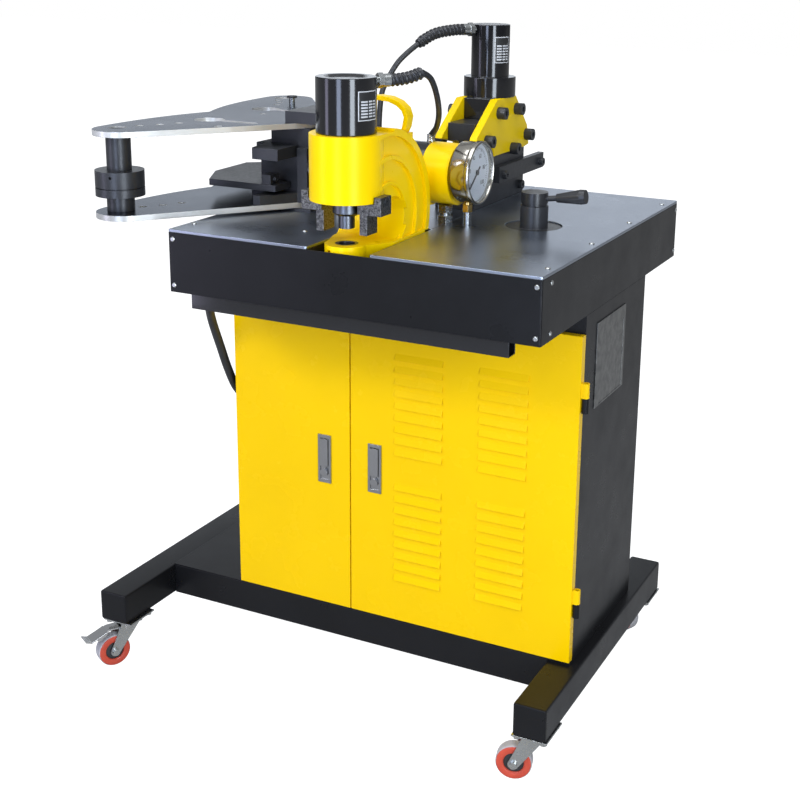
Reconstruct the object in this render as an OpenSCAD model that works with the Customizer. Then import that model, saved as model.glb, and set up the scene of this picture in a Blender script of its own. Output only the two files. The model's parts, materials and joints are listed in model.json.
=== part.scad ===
// Three-in-one busbar machine: bender, punch and shear on a wheeled steel cabinet.
// The model stands on the floor, +Z is up and -Y is the operator's side.

/* [Table] */
// Width of the table and of the cabinet below it
table_w = 682; // [660:2:710]
// Depth of the table
table_d = 694; // [680:2:740]
// Height of the worktop when the castors are 85 mm high
worktop_z = 885; // [870:1:910]
// Thickness of the steel top sheets
sheet_t = 5; // [3:1:7]
// Height of the folded skirt
skirt_h = 104; // [95:1:115]
// Wall of the skirt and of its inner ribs
skirt_t = 3; // [2:0.5:4]
// Depth of the bed plate below the worktop
bed_drop = 29; // [26:1:34]
// Thickness of the bed plate
bed_t = 6; // [4:1:8]
// Left edge of the channel between the two sheets
channel_left = -68; // [-72:1:-66]
// Right edge of the channel between the two sheets
channel_right = 47; // [46:1:52]

/* [Cabinet] */
// Front plane of the doors
door_front_y = -160.6; // [-170:0.2:-150]
// Depth of a folded door
door_t = 15.3; // [12:0.1:18]
// Back plane of the cabinet
cabinet_back_y = 165; // [150:1:180]
// Sheet thickness of the cabinet
cabinet_t = 2.5; // [2:0.5:4]
// Height of the header above the doors
header_h = 31; // [26:1:40]
// Where the two doors meet
door_split_x = -95; // [-110:1:-85]
// Gap around and between the doors
door_gap = 2.5; // [2.2:0.1:3.5]
// Sheet thickness of the doors
door_sheet = 2; // [1.5:0.5:2.5]
// Number of louvres in a group
louvres = 9; // [5:1:9]
// Spacing of the louvres
louvre_pitch = 22.2; // [20:0.2:23]

/* [Base] */
// Outside size of the square base tubes
tube = 60; // [50:1:65]
// Wall of the base tubes
tube_wall = 3; // [2:0.5:5]
// Height of the castors
castor_h = 95.5; // [90:0.5:105]
// Left face of the left foot
foot_left_x = -563; // [-580:1:-540]
// Right face of the right foot
foot_right_x = 360; // [350:1:375]
// Front end of the feet
foot_front_y = -312; // [-330:1:-300]
// Rear end of the feet
foot_back_y = 310; // [300:1:330]
// Thickness of the deck plate on the crossmembers
deck_t = 3; // [2:1:5]
// Front face of the front crossmember
cross_front_y = -157; // [-160:1:-150]
// Castor wheel diameter
wheel_d = 63; // [58:1:64]
// Castor wheel width
wheel_w = 24; // [20:1:25]
// Distance from a castor's swivel axis to its axle
castor_offset = 36; // [33:1:38]

/* [Punch] */
// Punch axis, left to right
punch_x = -16.5; // [-18:0.5:-12]
// Punch axis, front to back
punch_y = -306; // [-308:1:-300]
// Diameter of the yellow punch housing
punch_house_d = 119; // [112:1:122]
// Clear height of the punch throat, from the die to the housing
throat_h = 72; // [66:1:78]
// Height of the yellow punch housing
punch_house_h = 106.5; // [100:0.5:116]
// Diameter of the black punch cylinder
punch_cyl_d = 97; // [90:1:104]
// Height of the black punch cylinder
punch_cyl_h = 89; // [80:1:100]
// Radius of the rounded back of the C-frame
frame_r = 147; // [140:1:150]
// Height of the tongue above the worktop
tongue_rise = 4; // [2:1:8]
// Diameter of the die ring
die_d = 38; // [34:1:42]
// Diameter of the punch
punch_d = 26.5; // [16:0.5:28]

/* [Shear] */
// Shear axis, left to right
shear_x = 5; // [0:1:6]
// Shear cylinder axis, front to back
shear_y = 199; // [190:1:205]
// Width of the shear body
shear_w = 80; // [76:1:80]
// Height of the shear body
shear_body_h = 90; // [86:1:94]
// Thickness of the yellow side plates
shear_plate_t = 14.5; // [12:0.5:14.5]
// Diameter of the shear cylinder
shear_cyl_d = 72; // [64:1:76]

/* [Bender] */
// Ram axis, front to back
bend_y = -50; // [-54:1:-46]
// Ram axis height above the worktop
bend_rise = 85; // [82:1:88]
// Thickness of the wing plates
wing_t = 10; // [8:1:11]
// Thickness of the pad under the lower wing plate
wing_pad_t = 4.5; // [3:0.5:8]
// Clear height between the wing plates
wing_gap = 133.5; // [126:0.5:140]
// Diameter of the roller pin
pin_d = 43; // [40:1:46]
// Diameter of the roller
roller_d = 85; // [76:1:92]
// Diameter of the bender's hydraulic cylinder
bend_cyl_d = 104; // [98:1:106]

/* [Gauge and selector] */
// Gauge axis, front to back
gauge_y = -61; // [-66:1:-58]
// Height of the gauge centre above the worktop
gauge_rise = 93; // [90:1:100]
// Diameter of the gauge case
gauge_d = 110; // [100:1:112]
// Depth of the gauge case
gauge_depth = 38; // [34:1:44]
// Diameter of the selector post
post_d = 49; // [44:1:54]
// Height of the selector post
post_h = 37; // [32:1:42]

/* [Hidden] */

$fn = 64;
eps = 0.01;
// Running clearance of a shaft in its bore, on the radius
run_c = 0.08;
// Small clearance between faces that move past each other
air = 0.3;

skirt_top = worktop_z - sheet_t;
skirt_z = skirt_top - skirt_h;
bed_top = worktop_z - bed_drop;
half_w = table_w / 2;
half_d = table_d / 2;

foot_z = 85;
floor_z = foot_z - castor_h;
foot_top = foot_z + tube;
deck_top = foot_top + deck_t;
foot_inner_l = foot_left_x + tube;
foot_inner_r = foot_right_x - tube;
cross_rear_y = cabinet_back_y - 5 - tube;

cabinet_front_y = door_front_y + door_t + air;
door_z = deck_top + door_gap;
door_top = skirt_z - header_h - door_gap + 1;
hinge_r = 6;
hinge_x = half_w + hinge_r + 0.5;
hinge_y = door_front_y + 8.6;
pivot_x = -half_w + 8;
pivot_y = door_front_y + 10.1;
relief = 7.5;

axle_z = floor_z + wheel_d / 2;
castor_plate_t = 3;
castor_at = [[foot_left_x + 35, foot_front_y + 40, 240], [foot_right_x - 30, foot_front_y + 36, 195],
    [foot_left_x + 30, foot_back_y - 36, 215], [foot_right_x - 30, foot_back_y - 36, 156]];

tongue_z = worktop_z + tongue_rise;
tongue_nose_r = 36;
punch_house_z = tongue_z + throat_h;
punch_house_top = punch_house_z + punch_house_h;
frame_y = punch_y + 33;
frame_z = worktop_z + 42;
frame_half = 54;
cheek_half = punch_house_d / 2 + 0.5;
throat_y = punch_y + 72;
nut_d = 45;
ram_d = 34;
slug_d = punch_d + 3;
stripper_z = punch_house_z - 19;

shear_top = worktop_z + shear_body_h;
shear_inner = shear_w / 2 + 2 - shear_plate_t;
shear_block_z = shear_top + 33;
shear_block_h = 32;
shear_neck_z = shear_block_z + shear_block_h + 0.5;
shear_neck_top = shear_top + 104;
shear_ring_h = 37.5;
shear_cyl_h = 96;
shear_front_y = shear_y - 147;
shear_back_y = shear_y + 83;
shear_rod_d = 36;
guide_reach = 157;
blade_t = 12;

bend_z = worktop_z + bend_rise;
wing_low_z = worktop_z + wing_pad_t;
wing_high_z = wing_low_z + wing_t + wing_gap;
wing_pin = [-467, bend_y - 261];
wing_tip = [-455, bend_y - 265];
wing_tip_r = 50;
wing_end_x = -220;
wing_end_half = 29;
ram_shaft_d = 46;
head_x = -298;
head_end_x = -216;
roller_z = worktop_z + 41;
roller_low_h = 15;
roller_h = 44.5;
shoulder_d = 48;

gauge_x = 71.5;
gauge_z = worktop_z + gauge_rise;
gauge_pipe_x = 83.5;
post_x = 189;
post_y = -12;

// The table's centre in the part's frame, whose origin lies under the middle of the whole machine
table_x = -(foot_left_x - 30.4 + foot_right_x + 2) / 2;
table_y = -(punch_y - punch_house_d / 2 + shear_y + guide_reach) / 2;

black = [0.08, 0.08, 0.09];
yellow = [0.98, 0.82, 0.02];
steel = [0.55, 0.58, 0.62];
chrome = [0.75, 0.77, 0.80];

module at_table() {
    translate([table_x, table_y, -floor_z]) children();
}

// A box given by its low and high corners
module box(low, high) {
    translate(low) cube(high - low);
}

// A cylinder along X that starts at a point
module bar_x(p, d, l) {
    translate(p) rotate([0, 90, 0]) cylinder(d = d, h = l);
}

// A cylinder along Y that starts at a point
module bar_y(p, d, l) {
    translate(p) rotate([-90, 0, 0]) cylinder(d = d, h = l);
}

// ---------- base ----------

// A square tube along Y with a welded plate on each end
module foot(x) {
    y0 = foot_front_y + tube_wall;
    y1 = foot_back_y - tube_wall;
    difference() {
        box([x, y0, foot_z], [x + tube, y1, foot_top]);
        box([x + tube_wall, y0 - 1, foot_z + tube_wall], [x + tube - tube_wall, y1 + 1, foot_top - tube_wall]);
    }
    box([x, foot_front_y, foot_z], [x + tube, y0, foot_top]);
    box([x, y1, foot_z], [x + tube, foot_back_y, foot_top]);
}

module foot_left() {
    color(black) foot(foot_left_x);
}

module foot_right() {
    color(black) foot(foot_right_x - tube);
}

module crossmembers() {
    color(black) for (y = [cross_front_y, cross_rear_y]) difference() {
        box([foot_inner_l, y, foot_z], [foot_inner_r, y + tube, foot_top]);
        box([foot_inner_l - 1, y + tube_wall, foot_z + tube_wall],
            [foot_inner_r + 1, y + tube - tube_wall, foot_top - tube_wall]);
    }
}

module deck_plate() {
    color(black) box([foot_inner_l, cross_front_y, foot_top], [half_w, cabinet_back_y, deck_top]);
}

module castor_place(i) {
    translate([castor_at[i][0], castor_at[i][1], 0]) rotate(castor_at[i][2]) children();
}

// Top plate with its race and four bolts, and below it the king pin
module castor_plate(i) {
    plate_z = foot_z - castor_plate_t;
    translate([castor_at[i][0], castor_at[i][1], 0]) {
        translate([-32, -36, plate_z]) cube([64, 72, castor_plate_t]);
        translate([0, 0, plate_z - 6]) cylinder(d = 46, h = 6);
        translate([0, 0, plate_z - 16]) cylinder(d = 10, h = 10 - 2 * eps);
        translate([0, 0, plate_z - 18]) cylinder(d = 18, h = 5);
        for (sx = [-1, 1], sy = [-1, 1])
            translate([sx * 24, sy * 28, plate_z - 5]) cylinder(d = 13, h = 5, $fn = 6);
    }
}

module castor_plates() {
    color(steel) for (i = [0:3]) castor_plate(i);
}

fork_top = foot_z - castor_plate_t - 6 - air;
fork_half = wheel_w / 2 + 1.5;
leg_t = 2.5;
pedal_pin = [13, fork_top - 8.5];

// Side outline of a fork leg, along the castor's trail
module leg_outline() {
    translate([castor_offset, axle_z]) circle(d = 19);
    polygon([[-17, fork_top], [21, fork_top], [castor_offset + 9.3, axle_z + 2],
        [castor_offset - 8.6, axle_z - 4]]);
}

// Fork of a swivel castor with its axle bolt
module castor_fork(i) {
    color(steel) castor_place(i) {
        difference() {
            union() {
                for (side = [-1, 1])
                    translate([0, side * (fork_half + leg_t / 2) + leg_t / 2, 0])
                        rotate([90, 0, 0]) linear_extrude(leg_t) leg_outline();
                box([-20, -fork_half - leg_t, fork_top - 3.5], [22, fork_half + leg_t, fork_top]);
            }
            translate([0, 0, fork_top - 10]) cylinder(r = 5 + run_c, h = 20);
            bar_y([castor_offset, -40, axle_z], 8 + 2 * run_c, 80);
            if (i == 0) bar_y([pedal_pin[0], -40, pedal_pin[1]], 5 + 2 * run_c, 80);
        }
        bar_y([castor_offset, -fork_half - leg_t, axle_z], 8, 2 * (fork_half + leg_t));
        bar_y([castor_offset, fork_half + leg_t, axle_z], 13, 5);
        bar_y([castor_offset, -fork_half - leg_t - 5, axle_z], 13, 5);
    }
}

// Tyre on its hub
module castor_wheel(i) {
    color([0.8, 0.28, 0.18]) castor_place(i) translate([castor_offset, 0, axle_z]) rotate([90, 0, 0]) {
        rotate_extrude() polygon([[19.05, -wheel_w / 2], [wheel_d / 2 - 3, -wheel_w / 2],
            [wheel_d / 2, -wheel_w / 2 + 3], [wheel_d / 2, wheel_w / 2 - 3],
            [wheel_d / 2 - 3, wheel_w / 2], [19.05, wheel_w / 2]]);
        difference() {
            union() {
                cylinder(r = 19, h = wheel_w - 4, center = true);
                cylinder(r = 9, h = wheel_w + 2, center = true);
            }
            cylinder(r = 4 + run_c, h = 60, center = true);
        }
    }
}

// Side outline of the brake pedal's plate, from its pin to its turned-up toe
pedal_line = [[pedal_pin[0] - 2.5, fork_top - 9.8], [45, fork_top - 9.8], [64, fork_top - 18],
    [82, fork_top - 25], [93, fork_top - 21]];
pedal_t = 2.5;

// Brake pedal above the front left wheel, wider and flanged where it is clear of the fork
module brake_pedal_fl() {
    n = len(pedal_line) - 1;
    color(chrome) castor_place(0) {
        intersection() {
            translate([0, 15, 0]) rotate([90, 0, 0]) linear_extrude(30)
                polygon(concat([for (k = [0:n]) pedal_line[k] + [0, pedal_t]],
                    [for (k = [0:n]) pedal_line[n - k]]));
            union() {
                box([0, -12, 0], [50, 12, fork_top]);
                box([49, -14.5, 0], [100, 14.5, fork_top]);
            }
        }
        for (y = [-14.5, 12.5]) translate([0, y + 2, 0]) rotate([90, 0, 0]) linear_extrude(2)
            polygon([[49, pedal_line[1][1]], [64, pedal_line[2][1] + 0.5], [73, pedal_line[2][1] - 2],
                [66, pedal_line[2][1] - 7.5], [51, pedal_line[1][1] - 6]]);
        bar_y([pedal_pin[0], -fork_half - leg_t, pedal_pin[1]], 5, 2 * (fork_half + leg_t));
    }
}

// ---------- cabinet ----------

module cabinet_shell() {
    x0 = -half_w;
    x1 = half_w;
    stile = 24;
    color(black) difference() {
        box([x0, cabinet_front_y, deck_top], [x1, cabinet_back_y, skirt_z]);
        box([x0 + cabinet_t, cabinet_front_y + relief + cabinet_t, deck_top + cabinet_t],
            [x1 - cabinet_t, cabinet_back_y - cabinet_t, skirt_z - cabinet_t]);
        box([x0 + stile, cabinet_front_y - 1, deck_top + 20], [x1 - stile, cabinet_front_y + 20, door_top - 8]);
        box([x0 - 1, cabinet_front_y - 1, deck_top - 1], [x0 + stile - 1, cabinet_front_y + relief, door_top + 0.5]);
        bar_x([x0 - 5, supply_entry[1], supply_entry[2]], supply_d + 10, 20);
        for (k = [0:5]) box([x0 + 200, cabinet_back_y - 10, 420 + 24 * k], [x0 + 480, cabinet_back_y + 1, 428 + 24 * k]);
    }
}

// Folded door pan, open at the back
module door_pan(x0, x1) {
    difference() {
        box([x0, door_front_y, door_z], [x1, door_front_y + door_t, door_top]);
        box([x0 + door_sheet, door_front_y + door_sheet, door_z + door_sheet],
            [x1 - door_sheet, door_front_y + door_t + 1, door_top - door_sheet]);
    }
}

// A recessed plate that carries a lock
module lock_plate(x, z) {
    difference() {
        box([x - 13.3, door_front_y - 3, z - 46.5], [x + 13.3, door_front_y - eps, z + 46.5]);
        box([x - 9, door_front_y - 4, z - 40], [x + 9, door_front_y - 1, z + 40]);
    }
}

lock_x = [-148, -43.5];
lock_z = worktop_z - 444;

// The paddle and its round key cylinder
module lock(i) {
    color(chrome) {
        box([lock_x[i] - 8, door_front_y - 5, lock_z - 14], [lock_x[i] + 8, door_front_y - 1.3, lock_z + 39]);
        bar_y([lock_x[i], door_front_y - 6, lock_z - 26], 15, 4.7);
        box([lock_x[i] - 3, door_front_y - 4, lock_z - 26], [lock_x[i] + 3, door_front_y - 1.3, lock_z - 10]);
    }
}

module lock_left() {
    lock(0);
}

module lock_right() {
    lock(1);
}

louvre_x = [43, 204.5];
louvre_top = [worktop_z - 233, worktop_z - 477];
louvre_w = [94, 90];

// Each louvre is a pressed hood above a slot
module louvre_slots() {
    for (c = [0, 1], g = [0, 1], k = [0:louvres - 1])
        translate([louvre_x[c] - louvre_w[c] / 2 + 3, door_front_y - 1, louvre_top[g] - k * louvre_pitch + 1])
            cube([louvre_w[c] - 6, door_sheet + 2, 6]);
}

module louvre_hoods() {
    for (c = [0, 1], g = [0, 1], k = [0:louvres - 1])
        translate([louvre_x[c] - louvre_w[c] / 2, door_front_y, louvre_top[g] - k * louvre_pitch])
            rotate([90, 0, 90]) linear_extrude(louvre_w[c])
                polygon([[0.5, 12], [0, 12], [-4, 1], [-4, 0], [-3, 0], [0.5, 9.5]]);
}

module door_left() {
    color(yellow) {
        difference() {
            door_pan(-half_w, door_split_x - door_gap / 2);
            translate([pivot_x, pivot_y, 0]) cylinder(r = 3 + run_c, h = 2000);
        }
        lock_plate(lock_x[0], lock_z);
    }
}

hinge_z = [worktop_z - 248, worktop_z - 622];
knuckle_h = 26;

module door_right() {
    color(yellow) {
        difference() {
            union() {
                difference() {
                    door_pan(door_split_x + door_gap / 2, half_w);
                    louvre_slots();
                }
                louvre_hoods();
                for (z = hinge_z) {
                    translate([hinge_x, hinge_y, z]) cylinder(r = hinge_r, h = knuckle_h);
                    box([half_w - 2, hinge_y - hinge_r, z], [hinge_x, hinge_y - 2, z + knuckle_h]);
                }
            }
            for (z = hinge_z) translate([hinge_x, hinge_y, z - 1]) cylinder(r = 3 + run_c, h = knuckle_h + 2);
        }
        lock_plate(lock_x[1], lock_z);
    }
}

// Lower hinge knuckles with pins on the right, pivot tabs with pins on the left
module door_hinges() {
    color(black) {
        for (z = hinge_z) {
            translate([hinge_x, hinge_y, z - knuckle_h - air]) cylinder(r = hinge_r, h = knuckle_h);
            translate([hinge_x, hinge_y, z - air - 1]) cylinder(r = 3, h = knuckle_h - 1);
            box([half_w, hinge_y, z - knuckle_h - air], [half_w + 3, cabinet_front_y + 26, z - air]);
        }
        for (s = [0, 1]) {
            tab_z = s == 0 ? deck_top : door_top + air;
            pin_z = s == 0 ? deck_top : door_top - 12;
            box([pivot_x - 6, pivot_y - 6, tab_z], [pivot_x + 12, cabinet_front_y + relief * (1 - s), tab_z + 2]);
            translate([pivot_x, pivot_y, pin_z]) cylinder(r = 3, h = 14);
        }
    }
}

module nameplate() {
    color(steel) difference() {
        box([half_w, -93, worktop_z - 286], [half_w + 2, 54, worktop_z - 135]);
        box([half_w + 1.2, -72, worktop_z - 283], [half_w + 3, 45, worktop_z - 158]);
    }
}

// ---------- table ----------

// Rounded rectangle between two corners
module rounded(x0, y0, x1, y1, r) {
    for (x = [x0 + r, x1 - r], y = [y0 + r, y1 - r]) translate([x, y]) circle(r);
    translate([x0 + r, y0]) square([x1 - x0 - 2 * r, y1 - y0]);
    translate([x0, y0 + r]) square([x1 - x0, y1 - y0 - 2 * r]);
}

// Folded skirt with its bed plate, ribs under the sheets and a bottom flange
module table_skirt() {
    t = skirt_t;
    color(black) {
        difference() {
            translate([0, 0, skirt_z]) linear_extrude(skirt_h) rounded(-half_w, -half_d, half_w, half_d, 3);
            box([-half_w + t, -half_d + t, skirt_z + t], [half_w - t, half_d - t, bed_top - bed_t]);
            box([-half_w + t, -half_d + t, bed_top], [channel_left - 2 * t, half_d - t, worktop_z]);
            box([channel_right + 2 * t, -half_d + t, bed_top], [half_w - t, half_d - t, worktop_z]);
            box([channel_left, min(-half_d + t, punch_y - tongue_nose_r - air), bed_top],
                [channel_right, half_d - t, worktop_z]);
            box([-half_w + 26, -half_d + 40, skirt_z - 1], [half_w - 26, half_d - 26, skirt_z + t + 1]);
            translate([supply_top[0] - 1, supply_top[1] + 3, skirt_z - 1]) cylinder(d = supply_d + 12, h = t + 2);
        }
    }
}

strip_x = [-300, 288];

module under_strip() {
    y0 = -half_d + 4;
    color(black) difference() {
        box([strip_x[0], y0, skirt_z - 26], [strip_x[1], y0 + 26, skirt_z]);
        box([strip_x[0] - 1, y0 + 2, skirt_z - 24], [strip_x[1] + 1, y0 + 24, skirt_z - 2]);
    }
}

channel_end_y = frame_y + frame_r + 2;
sheet_gap = 0.5;

module sheet_left() {
    color(steel) translate([0, 0, skirt_top]) linear_extrude(sheet_t) difference() {
        union() {
            rounded(-half_w, -half_d, channel_left, half_d, 4);
            rounded(-half_w, channel_end_y, channel_right - sheet_gap, half_d, 4);
        }
        translate([shear_end[0], shear_end[1]]) circle(d = hose_d + 2);
    }
}

module sheet_right() {
    color(steel) translate([0, 0, skirt_top]) linear_extrude(sheet_t) difference() {
        rounded(channel_right, -half_d, half_w, half_d, 4);
        translate([post_x - 2, post_y + 4]) circle(r = 50);
        translate([gauge_pipe_x, gauge_y]) circle(r = 7.5);
    }
}

// Low screw heads on the sheets and on the skirt
module table_screws() {
    inset = 14;
    color(steel) {
        for (k = [-1.5:1:1.5])
            translate([half_w - inset, k * 0.28 * table_d, worktop_z]) cylinder(d1 = 10, d2 = 7, h = 1.6);
        for (k = [-1.5, 1.5])
            translate([-half_w + inset, k * 0.28 * table_d, worktop_z]) cylinder(d1 = 10, d2 = 7, h = 1.6);
        for (y = [-247, 250]) translate([channel_left - 64, y, worktop_z]) cylinder(d1 = 10, d2 = 7, h = 1.6);
        for (x = [-half_w + 9, half_w - 9], z = [skirt_top - 12, skirt_z + 12])
            translate([x, -half_d, z]) rotate([90, 0, 0]) cylinder(d1 = 9, d2 = 6, h = 1.6);
        for (y = [-half_d + 38, half_d - 9], z = [skirt_top - 12, skirt_z + 12])
            translate([half_w, y, z]) rotate([0, 90, 0]) cylinder(d1 = 9, d2 = 6, h = 1.6);
    }
}

// ---------- punch ----------

// Outline of the C-frame seen from the side, y to the right and z up
module frame_side() {
    difference() {
        translate([frame_y, frame_z]) circle(r = frame_r, $fn = 128);
        translate([frame_y - 400, 0]) square([800, worktop_z]);
        translate([frame_y - 400, 0]) square([throat_y - frame_y + 400 - 12, punch_house_z]);
        translate([throat_y - 12, (tongue_z + punch_house_z) / 2]) circle(d = punch_house_z - tongue_z);
        translate([frame_y - 400, punch_house_z - 1]) square([punch_y - frame_y + 400, 400]);
        translate([punch_y - 1, punch_house_top]) square([punch_cyl_d / 2 + 1.5, 400]);
    }
}

// Plan of the tongue: round nose, then flaring to the channel's width
module tongue_plan() {
    left = channel_left + 2;
    right = channel_right - 2;
    translate([punch_x, punch_y]) circle(r = tongue_nose_r);
    polygon([[punch_x - tongue_nose_r, punch_y], [punch_x + tongue_nose_r, punch_y], [right, punch_y + 44],
        [right, frame_y + 125], [left, frame_y + 125], [left, punch_y + 44]]);
}

handle_y = frame_y + 82;
handle_z = frame_z + sqrt(frame_r * frame_r - 70 * 70) + 1;
handle_half = 48;

module rib_ring(r, w) {
    difference() {
        circle(r = r, $fn = 128);
        circle(r = r - w, $fn = 128);
    }
}

module punch_body() {
    color([1, 0.78, 0.02]) difference() {
        union() {
            translate([0, 0, bed_top]) linear_extrude(tongue_z - bed_top) tongue_plan();
            translate([punch_x - frame_half, 0, 0]) rotate([90, 0, 90]) linear_extrude(2 * frame_half) frame_side();
            translate([punch_x - cheek_half, 0, 0]) rotate([90, 0, 90]) linear_extrude(2 * cheek_half)
                intersection() {
                    frame_side();
                    translate([frame_y, frame_z]) union() {
                        rib_ring(frame_r, 12);
                        rib_ring(104, 7);
                        rib_ring(62, 5);
                    }
                    translate([punch_y, worktop_z + 1]) square([400, 400]);
                }
            translate([punch_x, punch_y, punch_house_z])
                cylinder(d = punch_house_d, h = punch_house_h);
            for (s = [-1, 1]) translate([punch_x + s * (handle_half - 4) - 8, handle_y - 14, handle_z - 40])
                cube([16, 28, 40]);
        }
        translate([punch_x, punch_y, punch_house_z - 1]) cylinder(r = ram_d / 2 + run_c, h = 105);
        translate([punch_x, punch_y, tongue_z - 20]) cylinder(r = die_d / 2 + 0.05, h = 30);
        translate([punch_x, punch_y, bed_top - 1]) cylinder(d = slug_d, h = 60);
        bar_y([punch_x - 14, punch_y - 60, tongue_z - 10], 6, 45);
    }
}

module punch_cylinder() {
    color(black) difference() {
        translate([punch_x, punch_y, punch_house_top]) cylinder(d = punch_cyl_d, h = punch_cyl_h);
        translate([punch_x, punch_y, punch_house_top + punch_cyl_h - 3]) cylinder(d1 = 60, d2 = 78, h = 4);
    }
}

// Right half of the handle's outer and inner outline, from the top down to the foot
handle_outer = [[0, 59], [20, 57.5], [38, 51], [50, 41], [55, 27], [52, 10], [47, 0]];
handle_inner = [[0, 51], [18, 49.5], [33, 44], [43, 36], [47, 26], [44, 10], [39, -1]];

function both_halves(half) = let(n = len(half) - 1)
    concat(half, [for (k = [0:n]) [-half[n - k][0], half[n - k][1]]]);

module punch_handle() {
    color(yellow) translate([punch_x, handle_y + 11, handle_z]) rotate([90, 0, 0]) linear_extrude(22)
        difference() {
            polygon(both_halves(handle_outer));
            polygon(both_halves(handle_inner));
        }
}

lug_in = punch_house_d / 2 + 1;
lug_out = 73;
lug_y = [-19, 15];
lug_screw = [-2, punch_house_z + 3];

// Cast fork that strips the bar from the punch; its left leg stands further out
module stripper() {
    color(steel) for (s = [-1, 1]) translate([punch_x, punch_y, 0]) mirror([s < 0 ? 1 : 0, 0, 0]) difference() {
        leg_x = s < 0 ? 36 : 30.5;
        union() {
            box([leg_x, -12, tongue_z + 18], [leg_x + 13.5, 22, punch_house_z - 0.5]);
            box([leg_x, lug_y[0], stripper_z], [lug_out, lug_y[1], punch_house_z - 0.5]);
            box([lug_in, lug_y[0], stripper_z], [lug_out, lug_y[1], punch_house_z + 11]);
        }
        bar_x([lug_in - 1, lug_screw[0], lug_screw[1]], 8.4, 40);
        bar_x([lug_out - 5, lug_screw[0], lug_screw[1]], 14, 40);
    }
}

module stripper_screws() {
    color(black) for (s = [-1, 1]) translate([punch_x, punch_y, 0]) mirror([s < 0 ? 1 : 0, 0, 0]) {
        bar_x([lug_in - 0.5, lug_screw[0], lug_screw[1]], 8, lug_out - lug_in - 4.5);
        difference() {
            bar_x([lug_out - 5, lug_screw[0], lug_screw[1]], 13, 7);
            bar_x([lug_out - 1, lug_screw[0], lug_screw[1]], 6, 7, $fn = 6);
        }
    }
}

module punch_ram() {
    color(steel) translate([punch_x, punch_y, 0]) {
        translate([0, 0, punch_house_z - 1]) cylinder(d = ram_d, h = 100);
        translate([0, 0, punch_house_z - 21]) cylinder(d = nut_d, h = 20);
        translate([0, 0, punch_house_z - 25]) cylinder(d1 = nut_d - 9, d2 = nut_d, h = 4);
        translate([0, 0, punch_house_z - 46.5]) cylinder(d = punch_d, h = 22.5);
    }
}

module die_ring() {
    color(black) translate([punch_x, punch_y, tongue_z - 20]) difference() {
        cylinder(d = die_d, h = 20);
        translate([0, 0, -1]) cylinder(d = punch_d + 1, h = 22);
    }
}

// ---------- gauge ----------

module gauge_case() {
    color(chrome) difference() {
        union() {
            bar_x([gauge_x, gauge_y, gauge_z], gauge_d - 4, gauge_depth);
            bar_x([gauge_x + gauge_depth - 9, gauge_y, gauge_z], gauge_d, 9);
        }
        bar_x([gauge_x + 3, gauge_y, gauge_z], gauge_d - 10, gauge_depth);
    }
}

module gauge_dial() {
    color("white") bar_x([gauge_x + gauge_depth - 12, gauge_y, gauge_z], gauge_d - 10.6, 1.5);
    color("white") bar_x([gauge_x + 3, gauge_y, gauge_z], 20, gauge_depth - 15);
}

module gauge_pointer() {
    dial_x = gauge_x + gauge_depth - 10.5;
    color(black) translate([dial_x + 1, gauge_y, gauge_z]) rotate([0, 90, 0]) {
        translate([0, 0, -0.7]) cylinder(d = 9, h = 2.4);
        rotate(-50) translate([-14, -1.5, 0]) cube([52, 3, 1]);
    }
}

module gauge_stem() {
    color([0.8, 0.62, 0.2]) {
        translate([gauge_pipe_x, gauge_y, worktop_z + 23]) cylinder(d = 19, h = 13, $fn = 6);
        translate([gauge_pipe_x, gauge_y, worktop_z + 36]) cylinder(d = 13, h = gauge_z - (gauge_d - 4) / 2 - worktop_z - 36 - air);
    }
}

module gauge_pipe() {
    color(steel) translate([gauge_pipe_x, gauge_y, bed_top]) cylinder(d = 14, h = worktop_z + 23 - bed_top);
}

// ---------- shear ----------

module shear_cylinder() {
    color(black) translate([shear_x, shear_y, 0]) difference() {
        union() {
            translate([-shear_inner, -55, shear_neck_z])
                cube([2 * shear_inner, 110, shear_neck_top - shear_neck_z]);
            translate([0, 0, shear_neck_top]) cylinder(d = 98, h = shear_ring_h);
            translate([0, 0, shear_neck_top + shear_ring_h]) cylinder(d = shear_cyl_d, h = shear_cyl_h);
        }
        translate([0, 0, shear_neck_z - 1]) cylinder(d = shear_rod_d + 2 * run_c, h = 120);
    }
}

// Outline of a side plate, y to the right and z up
module shear_plate_outline() {
    polygon([[shear_y - 58, shear_neck_top], [shear_y + 31, shear_neck_top], [shear_y + 91, shear_top + 41],
        [shear_y + 101, shear_top + 3], [shear_y + 77, shear_top], [shear_y - 65, shear_top],
        [shear_y - 72, shear_top + 22], [shear_y - 147, shear_top + 38], [shear_y - 144, shear_top + 44]]);
}

module shear_plates() {
    color(yellow) for (x = [shear_inner, -shear_inner - shear_plate_t])
        translate([shear_x + x, 0, 0]) rotate([90, 0, 90]) linear_extrude(shear_plate_t) shear_plate_outline();
}

shear_bolt_at = [[-50, 79], [31, 79], [84, 24], [17, 5], [-104, 33]];

// A cap screw head along X with its hex socket
module cap_head(p, d, h) {
    difference() {
        bar_x(p, d, h);
        bar_x([p[0] + h - 6, p[1], p[2]], d / 2, 8, $fn = 6);
    }
}

module shear_bolts() {
    out = shear_inner + shear_plate_t;
    color(black) for (s = [0, 1]) translate([shear_x, shear_y, shear_top]) mirror([s, 0, 0]) {
        for (b = shear_bolt_at) cap_head([out, b[0], b[1]], 22.5, 16);
        if (s == 0) {
            cap_head([shear_w / 2, 64, -72], 17, 8);
        }
    }
}

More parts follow.
